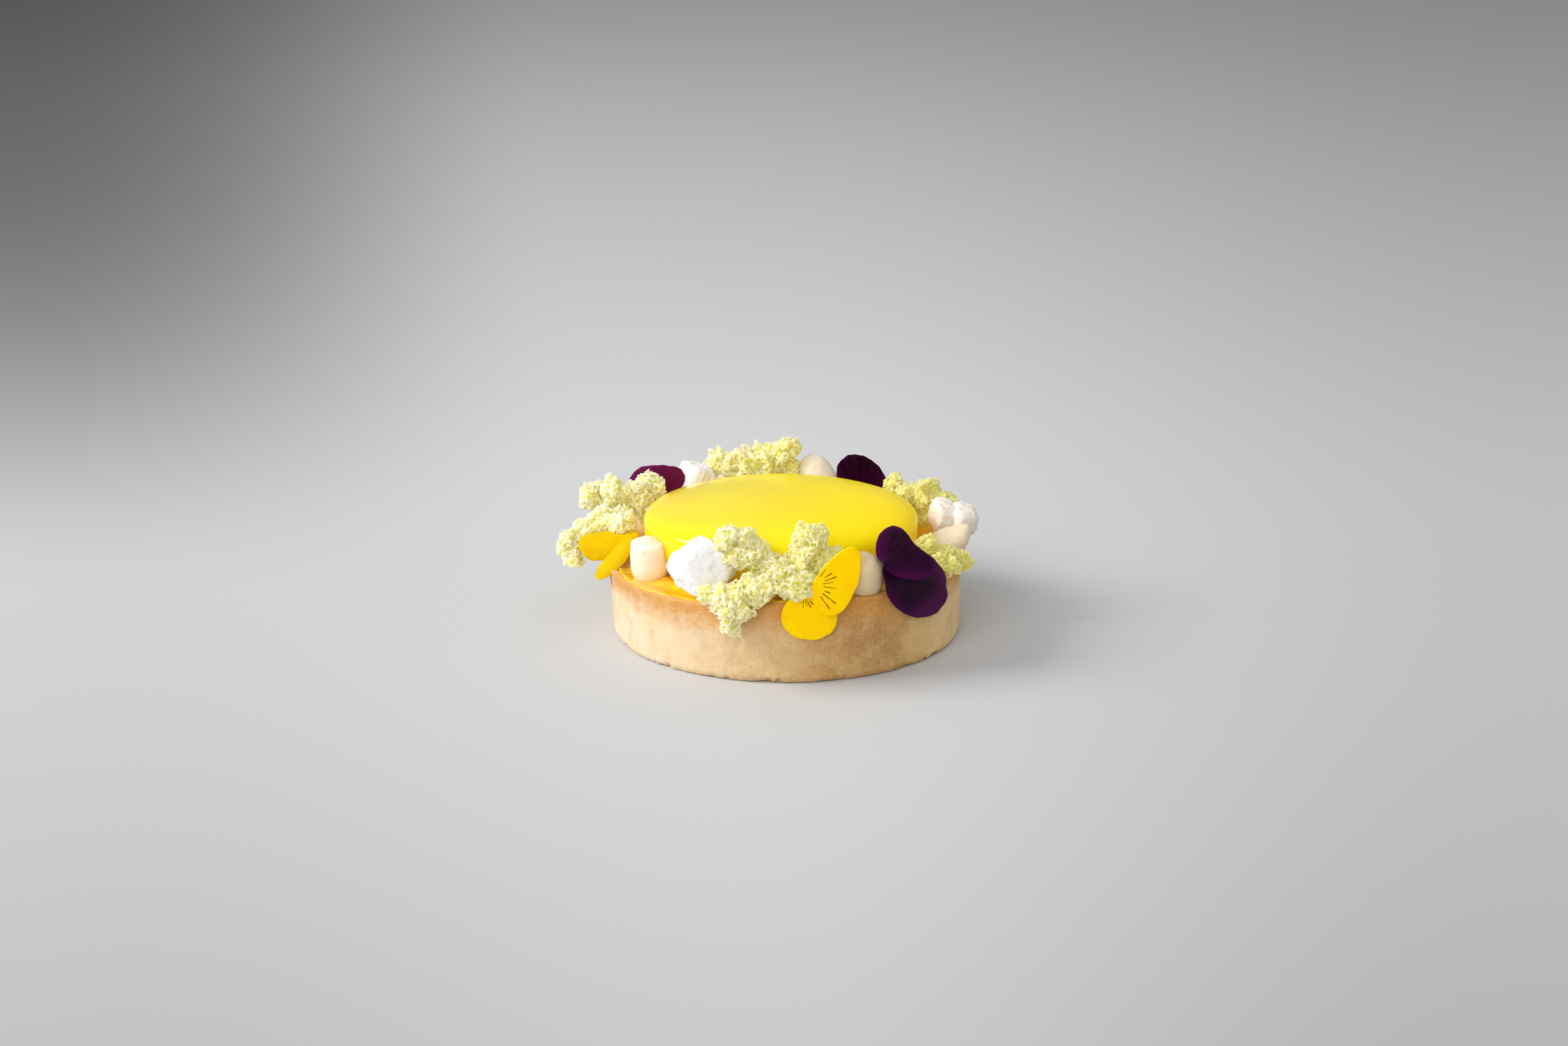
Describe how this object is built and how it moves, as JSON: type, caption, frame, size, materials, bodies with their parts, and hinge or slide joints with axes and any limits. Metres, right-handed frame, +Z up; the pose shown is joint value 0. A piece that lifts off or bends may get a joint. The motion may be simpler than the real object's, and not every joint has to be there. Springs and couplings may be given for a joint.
{
  "type": "lemon tart",
  "caption": "Small round lemon tart: straight-sided pastry case filled with curd, a glazed disc on top, ringed with cream dots, meringue, airy sponge and flower petals.",
  "frame": {"origin": "centre of the pastry case's flat underside", "axes": "+Z up; the pictured side faces -Y, +X to its right"},
  "size_m": [0.0977, 0.0897, 0.0355],
  "materials": {
    "pastry": "matte, fine-grained baked shortcrust, golden with paler and browner patches",
    "curd": "glossy set lemon curd",
    "glaze": "mirror-gloss lemon glaze",
    "cream": "smooth satin whipped cream with vanilla specks",
    "meringue": "dry white torn meringue",
    "sponge": "pale lime-yellow airy sponge, torn and open-pored",
    "petal_yellow": "velvety yellow petal with fine dark whiskers at its claw",
    "petal_purple": "velvety dark purple petal"
  },
  "bodies": {
    "root": {"pastry_case": "pastry", "lemon_curd": "curd", "glazed_disc": "glaze", "cream_dot_left": "cream", "cream_dot_left_back": "cream", "cream_dot_front": "cream", "cream_dot_right": "cream", "cream_dot_back": "cream", "cream_dot_back_left": "cream", "petal_yellow_front_upper": "petal_yellow", "petal_yellow_front_lower": "petal_yellow", "petal_yellow_left_upper": "petal_yellow", "petal_yellow_left_lower": "petal_yellow", "petal_purple_front_upper": "petal_purple", "petal_purple_front_lower": "petal_purple", "petal_purple_back": "petal_purple", "petal_purple_back_left": "petal_purple", "meringue_front": "meringue", "meringue_right": "meringue", "meringue_back": "meringue", "sponge_front": "sponge", "sponge_front_left": "sponge", "sponge_front_low": "sponge", "sponge_front_small": "sponge", "sponge_right_front": "sponge", "sponge_right_back": "sponge", "sponge_back_right": "sponge", "sponge_back": "sponge", "sponge_left_back": "sponge", "sponge_left": "sponge"}
  },
  "joints": []
}
